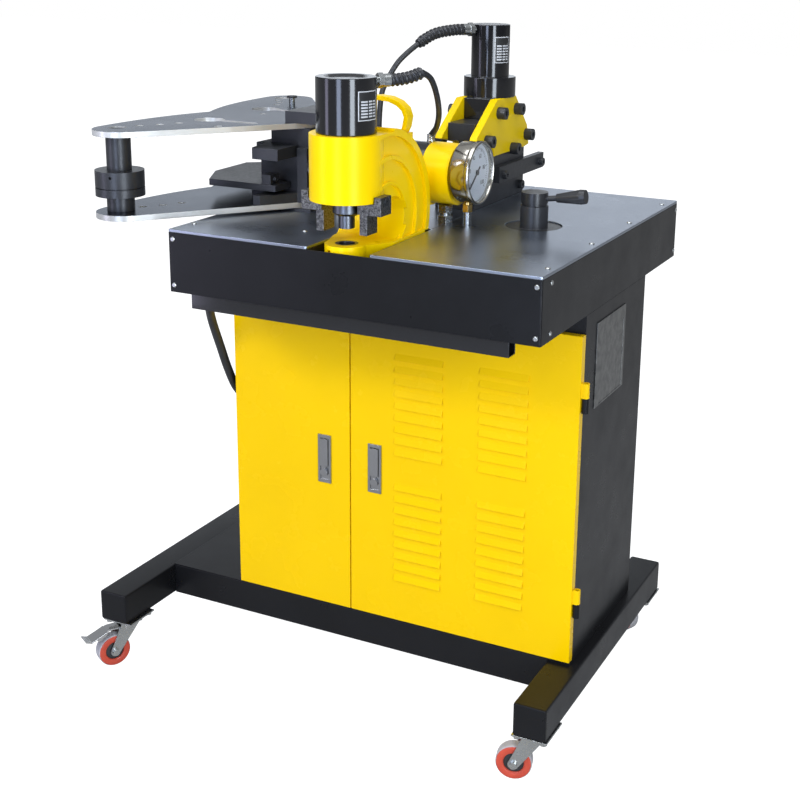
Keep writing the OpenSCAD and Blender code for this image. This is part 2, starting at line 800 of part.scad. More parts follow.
// Upper blade holder that slides between the plates
module shear_ram() {
    color(black) translate([shear_x, shear_y, 0]) {
        translate([-shear_inner + 1, -124, shear_block_z]) cube([2 * shear_inner - 2, 165, shear_block_h]);
        translate([-blade_t / 2, -122, shear_block_z - 8]) cube([blade_t, 55, 8]);
        translate([0, 0, shear_block_z + shear_block_h]) cylinder(d = shear_rod_d, h = 90);
    }
}

module shear_body() {
    color(black) difference() {
        box([shear_x - shear_w / 2, shear_front_y, worktop_z], [shear_x + shear_w / 2, shear_back_y, shear_top]);
        box([shear_x - blade_t / 2 - 1, shear_front_y - 1, shear_top - 26], [shear_x + blade_t / 2 + 1, shear_y - 60, shear_top + 1]);
    }
}

module shear_guide() {
    color(black) {
        box([shear_x + shear_w / 2, shear_y - 62, worktop_z + 40],
            [shear_x + shear_w / 2 + 12, shear_y + guide_reach, worktop_z + 70]);
        for (y = [139, -41]) cap_head([shear_x + shear_w / 2 + 12, shear_y + y, worktop_z + 53], 16, 8);
    }
}

// ---------- bender ----------

// Left edge of a wing plate: drawn in at the middle, out at the tips
function wing_edge(s) = -462 - 43 * (1 - pow(1 - s, 2.5));

function wing_half() = concat(
    [[wing_end_x, -wing_end_half]],
    [for (a = [-36:-12:-180]) [wing_tip[0] + wing_tip_r * cos(a), wing_tip[1] - bend_y + wing_tip_r * sin(a)]],
    [for (s = [0.9:-0.1:0.05]) [wing_edge(s), (wing_tip[1] - bend_y) * s]]);

module wing_outline() {
    half = wing_half();
    n = len(half) - 1;
    translate([0, bend_y]) polygon(concat(half, [[wing_edge(0), 0]],
        [for (k = [0:n]) [half[n - k][0], -half[n - k][1]]]));
}

wing_holes = [[-451, -222], [-430, -192], [-414, -159]];
pin_neck_d = 30;
keyhole = [-396, 92];
keyhole_l = 94;

module wing_plate(z, slots) {
    color(chrome) translate([0, 0, z]) linear_extrude(wing_t) difference() {
        wing_outline();
        for (s = [-1, 1]) translate([0, bend_y]) {
            translate([wing_pin[0], s * (wing_pin[1] - bend_y)]) circle(d = pin_neck_d + 0.16);
            for (h = wing_holes) translate([h[0], s * h[1]]) circle(r = 7);
            if (slots) {
                translate([keyhole[0], s * keyhole[1]]) circle(r = 27);
                translate([keyhole[0], s * keyhole[1] - 8]) square([keyhole_l, 16]);
                translate([keyhole[0] + keyhole_l, s * keyhole[1]]) circle(r = 8);
                translate([-332, s * 156]) circle(r = 7);
            }
        }
        if (slots) translate([-360, bend_y + 27]) circle(r = 6);
    }
}

module bend_plate_lower() {
    wing_plate(wing_low_z, false);
}

module bend_plate_upper() {
    wing_plate(wing_high_z, true);
}

module bend_pin() {
    color(black) translate([wing_pin[0], wing_pin[1], 0]) {
        translate([0, 0, wing_low_z + wing_t]) cylinder(d = pin_d, h = wing_gap);
        translate([0, 0, wing_low_z + wing_t]) cylinder(d = shoulder_d, h = roller_z - air - wing_low_z - wing_t);
        translate([0, 0, wing_low_z]) cylinder(d = pin_neck_d, h = 2 * wing_t + wing_gap - 2);
    }
    color(black) translate([-398, bend_y + 190, wing_high_z + wing_t]) {
        cylinder(d = 12, h = 12);
        translate([0, 0, 12]) cylinder(d = 20, h = 4);
    }
}

module bend_roller() {
    color(black) translate([wing_pin[0], wing_pin[1], roller_z]) difference() {
        union() {
            cylinder(d = roller_d, h = roller_low_h - 1);
            cylinder(d = roller_d - 6, h = roller_h);
            translate([0, 0, roller_low_h + 1]) cylinder(d = roller_d, h = roller_h - roller_low_h - 1);
        }
        translate([0, 0, -1]) cylinder(d = pin_d + 2 * run_c, h = roller_h + 2);
        rotate(16) translate([0, -roller_d / 2 - 5, roller_h - 9]) rotate([-90, 0, 0]) cylinder(d = 5, h = 15);
    }
}

base_block_t = 17;

// Pad, base block, column and end flange that tie the two wing plates to the cylinder
module bend_head() {
    low = wing_low_z + wing_t;
    color(black) {
        translate([0, 0, worktop_z]) linear_extrude(wing_pad_t) translate([head_x, bend_y - 55]) square([90, 110]);
        difference() {
            union() {
                translate([0, 0, low]) linear_extrude(base_block_t) intersection() {
                    wing_outline();
                    translate([head_x + 4, bend_y - 110]) square([head_end_x - head_x - 4, 220]);
                }
                box([head_x - 45, bend_y - 40, low], [head_x + 20, bend_y + 40, low + base_block_t]);
                box([head_x, bend_y - 40, low], [head_end_x, bend_y + 40, wing_high_z]);
                box([head_end_x - 21, bend_y - 52, low], [head_end_x, bend_y + 52, low + 99]);
            }
            bar_x([head_x - 60, bend_y, bend_z], ram_shaft_d + 2 * run_c, 200);
        }
        box([-259, bend_y - 54, wing_high_z + wing_t], [-186, bend_y + 46, wing_high_z + wing_t + 21]);
    }
}

// Sliding carriage with its nose plate, its clamp and the bar that passes in front of the column
module bend_ram() {
    low = wing_low_z + wing_t + base_block_t + air;
    front = head_x - air;
    near = bend_y - 42;
    color(black) {
        bar_x([front - 5, bend_y, bend_z], ram_shaft_d, 230);
        box([front - 26, bend_y - 36, low], [front, bend_y + 36, bend_z + 33]);
        translate([0, 0, bend_z + 12]) linear_extrude(21)
            polygon([[front + 4, bend_y - 110], [front + 58, bend_y - 110], [front + 58, near], [front, near],
                [front, bend_y + 78], [front - 26, bend_y + 78], [front - 26, bend_y - 50], [front - 6, bend_y - 54]]);
        translate([0, 0, low + 6]) linear_extrude(12)
            polygon([[front + 41, near], [front + 41, bend_y - 93], [front - 102, bend_y - 93],
                [front - 143, bend_y - 16], [front - 148, bend_y + 95], [front - 112, bend_y + 125],
                [front - 20, bend_y + 125], [front, bend_y + 80], [front, near]]);
        box([front + 11, bend_y - 91, low + 18], [front + 30, bend_y - 62, low + 36]);
        cap_head([front + 30, bend_y - 77, low + 27], 10, 5);
    }
}

bend_split_x = 12;
bend_flat_z = bend_z + bend_cyl_d / 2 - 1;
bend_house_end = 64;

// Yellow end housing with its saddle under the black cylinder
module bend_housing() {
    color(yellow) {
        bar_x([bend_split_x, bend_y, bend_z], bend_cyl_d + 3, bend_house_end - bend_split_x);
        difference() {
            bar_x([bend_split_x - 74, bend_y, bend_z], bend_cyl_d + 12, 74);
            bar_x([bend_split_x - 80, bend_y, bend_z], bend_cyl_d + 0.1, 90);
            box([bend_split_x - 90, bend_y - 90, bend_z + 28], [bend_split_x + 1, bend_y + 90, bend_z + 90]);
        }
    }
}

module bend_cylinder() {
    color(black) difference() {
        bar_x([head_end_x, bend_y, bend_z], bend_cyl_d, bend_split_x - head_end_x);
        bar_x([head_end_x - 1, bend_y, bend_z], ram_shaft_d + 2 * run_c, 160);
        translate([hose_end[0], hose_end[1], bend_flat_z]) cylinder(d = 12, h = 5);
    }
}

// ---------- selector ----------

module selector_post() {
    color(black) {
        translate([post_x, post_y, bed_top]) cylinder(d = 30, h = bed_drop);
        translate([post_x, post_y, worktop_z - sheet_t]) cylinder(d = post_d, h = post_h + sheet_t);
        translate([post_x - 2, post_y + 4, worktop_z - sheet_t]) cylinder(r = 49.6, h = 3);
    }
}

lever_z = worktop_z + 47;
lever_tilt = 8;

module selector_lever() {
    color(black) {
        translate([post_x, post_y, worktop_z + post_h + air]) {
            cylinder(d = post_d - 5, h = 5);
            translate([0, 0, 4]) cylinder(d = post_d - 2, h = 19);
        }
        translate([post_x, post_y, lever_z]) rotate([0, 90 - lever_tilt, 0]) {
            cylinder(d = 10, h = 50);
            translate([0, 0, 42]) cylinder(d1 = 15, d2 = 26, h = 44);
            translate([0, 0, 86]) cylinder(d1 = 26, d2 = 24, h = 9);
        }
    }
}

// ---------- inside the cabinet ----------

tank = [[-230, -110], [10, 120]];
tank_h = 250;

// Oil tank with its motor and valve block
module power_unit() {
    z0 = deck_top + cabinet_t;
    color([0.25, 0.3, 0.34]) {
        box([tank[0][0], tank[0][1], z0], [tank[1][0], tank[1][1], z0 + tank_h]);
        translate([-70, 20, z0 + tank_h]) cylinder(d = 150, h = 190);
        translate([-70, 20, z0 + tank_h + 190]) cylinder(d = 120, h = 20);
        box([-230, supply_port[1] - 30, z0 + tank_h], [-170, supply_port[1] + 30, z0 + tank_h + 70]);
    }
}

// ---------- hoses ----------

hose_d = 10;
supply_d = 16;
supply_top = [-322, -262];
supply_entry = [-341, -92, 491];
supply_port = [-230, -80, deck_top + cabinet_t + tank_h + 40];

// Unit vectors across the route at point i
function unit(v) = v / norm(v);
function along(p, i) = unit(p[min(i + 1, len(p) - 1)] - p[max(i - 1, 0)]);
function across(t) = unit(cross(t, abs(t[0]) > 0.9 ? [0, 1, 0] : [1, 0, 0]));

// Carry the first cross direction along the route so that the tube doesn't twist
function frames(p, i = 0, n = undef) = let(
        t = along(p, i),
        c = is_undef(n) ? across(t) : unit(n - (n * t) * t)
    ) i == len(p) - 1 ? [c] : concat([c], frames(p, i + 1, c));

// Points between a route's own points, on a smooth curve through them
function mid(p, i, s) = let(
        a = p[max(i - 1, 0)], b = p[i], c = p[i + 1], d = p[min(i + 2, len(p) - 1)]
    ) 0.5 * (2 * b + (c - a) * s + (2 * a - 5 * b + 4 * c - d) * s * s + (3 * b - a - 3 * c + d) * s * s * s);
function smooth(p, n) = concat([for (i = [0:len(p) - 2], k = [0:n - 1]) mid(p, i, k / n)], [p[len(p) - 1]]);

module tube_along(route, d, n, sides) {
    p = smooth(route, n);
    side = frames(p);
    rings = len(p);
    points = [for (i = [0:rings - 1], k = [0:sides - 1]) let(t = along(p, i), a = 360 * k / sides)
        p[i] + d / 2 * (cos(a) * side[i] + sin(a) * cross(t, side[i]))];
    faces = concat(
        [for (i = [0:rings - 2], k = [0:sides - 1]) [i * sides + k, i * sides + (k + 1) % sides,
            (i + 1) * sides + (k + 1) % sides, (i + 1) * sides + k]],
        [[for (k = [sides - 1:-1:0]) k]],
        [[for (k = [0:sides - 1]) (rings - 1) * sides + k]]);
    polyhedron(points, faces);
}

coupler_l = 26;
sleeve_d = 21;
punch_port_dir = unit([0.6, 0.8, 0]);
punch_port = [punch_x, punch_y, punch_house_top + punch_cyl_h - 9] + punch_port_dir * (punch_cyl_d / 2);
shear_port_dir = unit([-0.55, -0.835, 0]);
shear_port = [shear_x, shear_y, shear_neck_top + shear_ring_h + shear_cyl_h - 9] + shear_port_dir * (shear_cyl_d / 2);
shear_end = [-132, 20];
hose_end = [6, -50];

punch_sleeve_route = [punch_port + coupler_l * punch_port_dir, [38, -234, 1148], [51, -218, 1151], [64, -202, 1158]];
punch_route = [[64, -202, 1158], [69, -180, 1146], [65, -150, 1117], [50, -110, 1082], [29, -75, 1054],
    [12, -55, 1040], [6, -50, 1034], [6, -50, 1028]];
shear_sleeve_route = [shear_port + coupler_l * shear_port_dir, [-40, 130, 1203], [-62, 97, 1197], [-80, 66, 1180]];
shear_route = [[-80, 66, 1180], [-94, 47, 1163], [-107, 33, 1144], [-122, 18, 1109], [-128, 14, 1085],
    [-132, 14, 1036], [-133, 18, 980], [-132, 20, 935], [-132, 20, 915]];
supply_route = [[-322, -262, 850], [-322, -262, 810], [-324, -258, 775], [-334, -246, 745], [-348, -226, 715],
    [-359, -202, 680], [-366, -170, 625], [-368, -148, 580], [-366, -125, 535], [-358, -102, 505],
    [-341, -92, 491], [-318, -86, 484], [-288, -82, 462], [-262, -80, 441], [-230, -80, 440]];

module punch_hose() {
    color(black) tube_along(punch_route, hose_d, 2, 10);
}

module shear_hose() {
    color(black) tube_along(shear_route, hose_d, 2, 10);
}

module supply_hose() {
    color(black) tube_along(supply_route, supply_d, 2, 12);
}

// A zinc quick coupler along +Z from a port
module coupler() {
    cylinder(d = 13, h = 5);
    translate([0, 0, 5]) cylinder(d = 25, h = 9, $fn = 6);
    translate([0, 0, 14]) cylinder(d = 21, h = coupler_l - 14);
}

// Stand on a port and look along a direction
module at_port(p, dir) {
    translate(p) rotate([0, acos(dir[2]), atan2(dir[1], dir[0])]) children();
}

module hose_couplers() {
    inlet_h = bend_z - (bend_cyl_d + 3) / 2 - air - worktop_z;
    color(steel) {
        at_port(punch_port, punch_port_dir) coupler();
        at_port(shear_port, shear_port_dir) coupler();
        translate([shear_end[0], shear_end[1], worktop_z]) cylinder(d = 24, h = 30, $fn = 6);
        translate([hose_end[0], hose_end[1], bend_flat_z]) cylinder(d = 12, h = 1028 - bend_flat_z);
        translate([41, gauge_y, worktop_z]) {
            cylinder(d = 30, h = 13, $fn = 6);
            translate([0, 0, 13]) cylinder(d = 20, h = 5);
            translate([0, 0, 18]) cylinder(d = 28, h = inlet_h - 18, $fn = 6);
        }
    }
}

module hose_sleeves() {
    color(black) {
        tube_along(punch_sleeve_route, sleeve_d, 2, 12);
        tube_along(shear_sleeve_route, sleeve_d, 2, 12);
    }
}

at_table() foot_left();
at_table() foot_right();
at_table() crossmembers();
at_table() deck_plate();
at_table() castor_plates();
at_table() castor_fork(0);  // castor_fork_fl
at_table() castor_fork(1);  // castor_fork_fr
at_table() castor_fork(2);  // castor_fork_rl
at_table() castor_fork(3);  // castor_fork_rr
at_table() castor_wheel(0);  // castor_wheel_fl
at_table() castor_wheel(1);  // castor_wheel_fr
at_table() castor_wheel(2);  // castor_wheel_rl
at_table() castor_wheel(3);  // castor_wheel_rr
at_table() brake_pedal_fl();
at_table() cabinet_shell();
at_table() door_left();
at_table() door_right();
at_table() door_hinges();
at_table() lock_left();
at_table() lock_right();
at_table() nameplate();
at_table() table_skirt();
at_table() under_strip();
at_table() sheet_left();
at_table() sheet_right();
at_table() table_screws();
at_table() punch_body();
at_table() punch_cylinder();
at_table() punch_handle();
at_table() stripper();
at_table() stripper_screws();
at_table() punch_ram();
at_table() die_ring();
at_table() gauge_case();
at_table() gauge_dial();
at_table() gauge_pointer();
at_table() gauge_stem();
at_table() gauge_pipe();
at_table() shear_cylinder();
at_table() shear_plates();
at_table() shear_bolts();
at_table() shear_ram();
at_table() shear_body();
at_table() shear_guide();
at_table() bend_plate_lower();
at_table() bend_plate_upper();
at_table() bend_pin();
at_table() bend_roller();
at_table() bend_head();
at_table() bend_ram();
at_table() bend_housing();
at_table() bend_cylinder();
at_table() selector_post();
at_table() selector_lever();
at_table() power_unit();
at_table() punch_hose();
at_table() shear_hose();
at_table() supply_hose();
at_table() hose_couplers();
at_table() hose_sleeves();
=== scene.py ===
# %% [markdown]
# # A busbar machine: bender, punch and shear on one table
# This lesson dresses the solid model of a workshop machine that bends, punches and cuts
# copper bars. The solids come in first and are never moved. Everything else is placed
# from them, in metres, with +Z up and the operator standing on the -Y side.

# %% Load the solid model
import json
import math

import bpy
from mathutils import Matrix, Vector


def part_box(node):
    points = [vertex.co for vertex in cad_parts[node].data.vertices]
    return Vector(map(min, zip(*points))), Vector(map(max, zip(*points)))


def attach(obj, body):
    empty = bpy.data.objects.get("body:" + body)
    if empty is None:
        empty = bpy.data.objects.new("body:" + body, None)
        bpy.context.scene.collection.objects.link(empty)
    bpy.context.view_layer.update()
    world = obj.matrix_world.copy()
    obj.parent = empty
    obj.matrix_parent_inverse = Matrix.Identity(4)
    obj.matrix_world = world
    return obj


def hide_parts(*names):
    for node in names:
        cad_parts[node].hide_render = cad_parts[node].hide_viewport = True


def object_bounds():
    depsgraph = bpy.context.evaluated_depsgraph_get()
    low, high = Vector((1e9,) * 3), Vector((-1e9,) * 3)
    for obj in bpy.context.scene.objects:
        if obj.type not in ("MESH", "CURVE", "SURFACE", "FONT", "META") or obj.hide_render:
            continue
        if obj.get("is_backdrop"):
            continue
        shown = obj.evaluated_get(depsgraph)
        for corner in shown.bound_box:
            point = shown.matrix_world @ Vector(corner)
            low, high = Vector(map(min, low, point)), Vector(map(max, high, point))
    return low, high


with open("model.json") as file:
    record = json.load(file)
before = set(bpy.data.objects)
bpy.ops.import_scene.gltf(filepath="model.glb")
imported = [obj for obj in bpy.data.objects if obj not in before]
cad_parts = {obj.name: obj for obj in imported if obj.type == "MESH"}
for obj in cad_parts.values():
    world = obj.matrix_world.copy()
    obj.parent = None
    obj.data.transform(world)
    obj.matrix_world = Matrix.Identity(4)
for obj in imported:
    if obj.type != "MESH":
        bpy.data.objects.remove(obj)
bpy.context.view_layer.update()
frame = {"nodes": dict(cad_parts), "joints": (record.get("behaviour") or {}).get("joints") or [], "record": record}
record = frame["record"]
skirt_low, skirt_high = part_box("table_skirt")
table_centre = (skirt_low + skirt_high) / 2
foot_height = 0.085
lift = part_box("foot_left")[0].z - foot_height
print("solids:", len(frame["nodes"]), "table centre:", table_centre)


def at(x, y, z):
    """A point in millimetres, from the table's centre line and from 85 mm below the feet."""
    return Vector((table_centre.x + x / 1000, table_centre.y + y / 1000, z / 1000 + lift))


# %% [markdown]
# ## The camera
# A product picture of a machine is taken from a little above the worktop, from the front
# left, with a fairly long lens so that the cabinet's edges stay nearly upright. The
# camera's own axes are written down, which fixes its turn and its slight roll at once.

# %% Place the camera
lens_data = bpy.data.cameras.new("studio_camera")
lens_data.sensor_width = 36
lens_data.lens = 60.59
lens_data.shift_x = -0.0625
lens_data.shift_y = -0.125
lens_data.clip_start, lens_data.clip_end = 0.05, 50
camera = bpy.data.objects.new("studio_camera", lens_data)
bpy.context.scene.collection.objects.link(camera)
camera_right = Vector((0.90080, 0.43395, 0.01592)).normalized()
camera_up = Vector((-0.12690, 0.22799, 0.96536)).normalized()
camera_back = camera_right.cross(camera_up).normalized()
turn = Matrix((camera_right, camera_up, camera_back)).transposed()
camera.matrix_world = Matrix.Translation(at(1048.2, -2149.6, 1368.9)) @ turn.to_4x4()
bpy.context.scene.camera = camera
print("camera at", camera.matrix_world.translation)

# %% [markdown]
# ## The hydraulic hoses
# Three rubber hoses carry the oil. Each is a real length of tube between two fittings, so
# it is one curve with a round bevel, led through the same points as the solid model's
# tube. A smooth line through the points is worked out first, and its length is measured.

# %% Draw a smooth line through a route
def smooth_line(route, steps):
    """Points on a Catmull-Rom line through the route's points, in metres."""
    points = [at(*p) for p in route]
    line = []
    for i in range(len(points) - 1):
        a, b = points[max(i - 1, 0)], points[i]
        c, d = points[i + 1], points[min(i + 2, len(points) - 1)]
        for k in range(steps):
            s = k / steps
            line.append(0.5 * (2 * b + (c - a) * s + (2 * a - 5 * b + 4 * c - d) * s * s
                               + (3 * b - a - 3 * c + d) * s ** 3))
    return line + [points[-1]]


def length_of(line):
    return sum((b - a).length for a, b in zip(line, line[1:]))


# %% Make the three hoses
def make_hose(name, line, diameter):
    curve = bpy.data.curves.new(name, "CURVE")
    curve.dimensions = "3D"
    spline = curve.splines.new("POLY")
    spline.points.add(len(line) - 1)
    for point, co in zip(spline.points, line):
        point.co = (*co, 1)
        point.radius = diameter / 2
    curve.bevel_depth = 1
    curve.bevel_resolution = 5
    curve.use_fill_caps = True
    hose = bpy.data.objects.new(name, curve)
    bpy.context.scene.collection.objects.link(hose)
    return hose


punch_route = [(64, -202, 1158), (69, -180, 1146), (65, -150, 1117), (50, -110, 1082),
               (29, -75, 1054), (12, -55, 1040), (6, -50, 1034), (6, -50, 1028)]
shear_route = [(-80, 66, 1180), (-94, 47, 1163), (-107, 33, 1144), (-122, 18, 1109),
               (-128, 14, 1085), (-132, 14, 1036), (-133, 18, 980), (-132, 20, 935),
               (-132, 20, 915)]
supply_route = [(-322, -262, 850), (-322, -262, 810), (-324, -258, 775), (-334, -246, 745),
                (-348, -226, 715), (-359, -202, 680), (-366, -170, 625), (-368, -148, 580),
                (-366, -125, 535), (-358, -102, 505), (-341, -92, 491), (-318, -86, 484),
                (-288, -82, 462), (-262, -80, 441), (-230, -80, 440)]
hoses = {}
hose_plan = (("punch_hose", punch_route, 0.010), ("shear_hose", shear_route, 0.010),
             ("supply_hose", supply_route, 0.016))
route_steps = 5
for name, route, diameter in hose_plan:
    line = smooth_line(route, route_steps)
    hose = make_hose(name + "_rubber", line, diameter)
    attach(hose, "base")
    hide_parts(name)
    hoses[name] = (hose, line, diameter)
    print(name, "is", round(length_of(line), 3), "m long")

# %% [markdown]
# ## Light and floor
# The machine stands on a pale floor in front of a white backdrop. Only the camera sees the
# backdrop's full white. What the paint mirrors is a sky that is dark near the horizon and
# brighter overhead, so black paint stays black, and tall strip lamps draw the long
# highlights on the cylinders. The floor is a little brighter in mirror images than it is
# as a source of light.

# %% Set the world, the lamps and the floor
scene = bpy.context.scene
scene.view_settings.view_transform = "Standard"
scene.view_settings.look = "None"
world = bpy.data.worlds.new("studio")
scene.world = world
world.use_nodes = True
sky = world.node_tree
around = sky.nodes["Background"]
around.inputs["Color"].default_value = (0.90, 0.94, 1.0, 1)
backdrop = sky.nodes.new("ShaderNodeBackground")
backdrop.inputs["Color"].default_value = (1, 1, 1, 1)
backdrop.inputs["Strength"].default_value = 1.0
direction = sky.nodes.new("ShaderNodeTexCoord")
heights = sky.nodes.new("ShaderNodeSeparateXYZ")
sky.links.new(direction.outputs["Generated"], heights.inputs["Vector"])
brighter = sky.nodes.new("ShaderNodeMapRange")
for socket, value in (("From Min", 0.0), ("From Max", 0.9), ("To Min", 0.10), ("To Max", 0.6)):
    brighter.inputs[socket].default_value = value
sky.links.new(heights.outputs["Z"], brighter.inputs["Value"])
sky.links.new(brighter.outputs["Result"], around.inputs["Strength"])
rays = sky.nodes.new("ShaderNodeLightPath")
either = sky.nodes.new("ShaderNodeMixShader")
sky.links.new(rays.outputs["Is Camera Ray"], either.inputs["Fac"])
sky.links.new(around.outputs["Background"], either.inputs[1])
sky.links.new(backdrop.outputs["Background"], either.inputs[2])
sky.links.new(either.outputs["Shader"], sky.nodes["World Output"].inputs["Surface"])


def add_lamp(name, place, target, width, height, power, colour):
    data = bpy.data.lights.new(name, "AREA")
    data.shape = "RECTANGLE"
    data.size, data.size_y = width, height
    data.energy = power
    data.color = colour
    lamp = bpy.data.objects.new(name, data)
    scene.collection.objects.link(lamp)
    lamp.location = place
    lamp.rotation_euler = (target - place).to_track_quat("-Z", "Y").to_euler()
    lamp.visible_camera = False


middle, upper, high = at(0, 0, 700), at(0, 0, 1050), at(0, 0, 1500)
lamps = (
    ("strip_right", at(2304, -2074, 1150), upper, 0.85, 2.4, 74, (0.80, 0.89, 1.0)),
    ("strip_middle", at(108, -3098, 1150), upper, 0.75, 2.4, 42, (0.62, 0.73, 1.0)),
    ("strip_left", at(-2114, -2267, 1150), upper, 0.65, 2.4, 17, (0.74, 0.72, 1.0)),
    ("front_softbox", at(-1500, -2700, 2700), middle, 1.7, 0.8, 52, (0.90, 0.94, 1.0)),
    ("back_wall", at(-2736, 7518, 2600), high, 11, 1.7, 62, (0.86, 0.92, 1.0)),
    ("top_softbox", at(0, -500, 3100), middle, 2.2, 1.6, 38, (0.90, 0.94, 1.0)))
for lamp_plan in lamps:
    add_lamp(*lamp_plan)
bpy.ops.mesh.primitive_plane_add(size=30, location=(0, 0, 0))
floor = bpy.context.active_object
floor.name = "studio_floor"
pale = bpy.data.materials.new("studio_white")
pale.use_nodes = True
pale_shader = pale.node_tree.nodes["Principled BSDF"]
pale_shader.inputs["Base Color"].default_value = (0.28, 0.28, 0.28, 1)
pale_shader.inputs["Roughness"].default_value = 0.9
pale_shader.inputs["Specular IOR Level"].default_value = 0.1
pale_shader.inputs["Emission Color"].default_value = (1, 1, 1, 1)
seen = pale.node_tree.nodes.new("ShaderNodeLightPath")
glow = pale.node_tree.nodes.new("ShaderNodeMath")
glow.operation = "MULTIPLY_ADD"
mirrored_glow = 0.22
pale.node_tree.links.new(seen.outputs["Is Glossy Ray"], glow.inputs[0])
glow.inputs[1].default_value = mirrored_glow
pale.node_tree.links.new(seen.outputs["Is Camera Ray"], glow.inputs[2])
pale.node_tree.links.new(glow.outputs["Value"], pale_shader.inputs["Emission Strength"])
floor.data.materials.append(pale)
floor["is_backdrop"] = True
print("lamps and floor are in place")

# %% [markdown]
# ## Finishes
# Every finish is built from nodes on Object coordinates, so it stays where it is when a
# piece moves. Paint gets a slow mottle, a fine orange peel and a rounded look at its
# edges; ground steel gets long scratches; rubber gets a dull bloom. The values that are
# the same all over sit on the shader itself.

# %% Small helpers for building finishes
def link(tree, out, socket):
    tree.links.new(out, socket)


def start_finish(name, colour, metallic=0.0, roughness=0.4):
    finish = bpy.data.materials.new(name)
    finish.use_nodes = True
    tree = finish.node_tree
    shader = tree.nodes["Principled BSDF"]
    shader.inputs["Base Color"].default_value = (*colour, 1)
    shader.inputs["Metallic"].default_value = metallic
    shader.inputs["Roughness"].default_value = roughness
    finish.diffuse_color = (*colour, 1)
    return finish, tree, shader


def place_node(tree, stretch=(1, 1, 1)):
    coords = tree.nodes.new("ShaderNodeTexCoord")
    mapping = tree.nodes.new("ShaderNodeMapping")
    mapping.inputs["Scale"].default_value = stretch
    link(tree, coords.outputs["Object"], mapping.inputs["Vector"])
    return mapping.outputs["Vector"]


def noise_node(tree, place, scale, detail=3.0, rough=0.55):
    noise = tree.nodes.new("ShaderNodeTexNoise")
    noise.inputs["Scale"].default_value = scale
    noise.inputs["Detail"].default_value = detail
    noise.inputs["Roughness"].default_value = rough
    link(tree, place, noise.inputs["Vector"])
    return noise.outputs["Fac"]


def range_node(tree, value, low, high, from_low=0.3, from_high=0.7):
    spread = tree.nodes.new("ShaderNodeMapRange")
    spread.inputs["From Min"].default_value = from_low
    spread.inputs["From Max"].default_value = from_high
    spread.inputs["To Min"].default_value = low
    spread.inputs["To Max"].default_value = high
    link(tree, value, spread.inputs["Value"])
    return spread.outputs["Result"]


def mix_colours(tree, amount, first, second):
    ramp = tree.nodes.new("ShaderNodeValToRGB")
    ramp.color_ramp.elements[0].color = (*first, 1)
    ramp.color_ramp.elements[1].color = (*second, 1)
    ramp.color_ramp.elements[0].position = 0.3
    ramp.color_ramp.elements[1].position = 0.7
    link(tree, amount, ramp.inputs["Fac"])
    return ramp.outputs["Color"]


def round_and_bump(tree, shader, height, strength, distance, edge=0.0):
    """Bump from a height, over edges that look rounded by the given radius in metres."""
    bump = tree.nodes.new("ShaderNodeBump")
    bump.inputs["Strength"].default_value = strength
    bump.inputs["Distance"].default_value = distance
    link(tree, height, bump.inputs["Height"])
    if edge:
        rounded = tree.nodes.new("ShaderNodeBevel")
        rounded.samples = 4
        rounded.inputs["Radius"].default_value = edge
        link(tree, rounded.outputs["Normal"], bump.inputs["Normal"])
    link(tree, bump.outputs["Normal"], shader.inputs["Normal"])


# %% Paint
paint_edge = 0.0012


def paint(name, colour, shade, rough, coat=0.0, peel=0.12, gleam=0.5, tint=(1, 1, 1)):
    finish, tree, shader = start_finish(name, colour)
    shader.inputs["Specular IOR Level"].default_value = gleam
    shader.inputs["Specular Tint"].default_value = (*tint, 1)
    shader.inputs["Coat Weight"].default_value = coat
    shader.inputs["Coat Roughness"].default_value = 0.08
    place = place_node(tree)
    mottle = mix_colours(tree, noise_node(tree, place, 5, 4), colour, shade)
    link(tree, mottle, shader.inputs["Base Color"])
    link(tree, range_node(tree, noise_node(tree, place, 14, 5), *rough), shader.inputs["Roughness"])
    round_and_bump(tree, shader, noise_node(tree, place, 420, 2), peel, 0.0004, paint_edge)
    return finish


warm = (1.0, 0.93, 0.30)
door_yellow = paint("door_yellow_paint", (0.90, 0.545, 0.0), (0.85, 0.51, 0.0), (0.22, 0.30),
                    gleam=0.42, tint=warm)
punch_yellow = paint("punch_yellow_paint", (0.97, 0.655, 0.0), (0.94, 0.60, 0.0), (0.26, 0.36),
                     peel=0.2, gleam=0.35, tint=warm)
shear_yellow = paint("shear_yellow_paint", (0.88, 0.60, 0.0), (0.82, 0.55, 0.0), (0.28, 0.40),
                     peel=0.2, gleam=0.35, tint=warm)
satin_black = paint("satin_black_paint", (0.006, 0.006, 0.0065), (0.009, 0.009, 0.010),
                    (0.26, 0.36), gleam=0.2)
gloss_black = paint("gloss_black_paint", (0.006, 0.006, 0.007), (0.009, 0.009, 0.010),
                    (0.10, 0.15), coat=0.2, peel=0.05)
tank_grey = paint("tank_grey_paint", (0.10, 0.12, 0.14), (0.13, 0.15, 0.17), (0.28, 0.40))
print("paints made:", [m.name for m in bpy.data.materials if m.name.endswith("paint")])


# %% Metal
metal_depth, plain = 0.0003, (1, 1, 1)


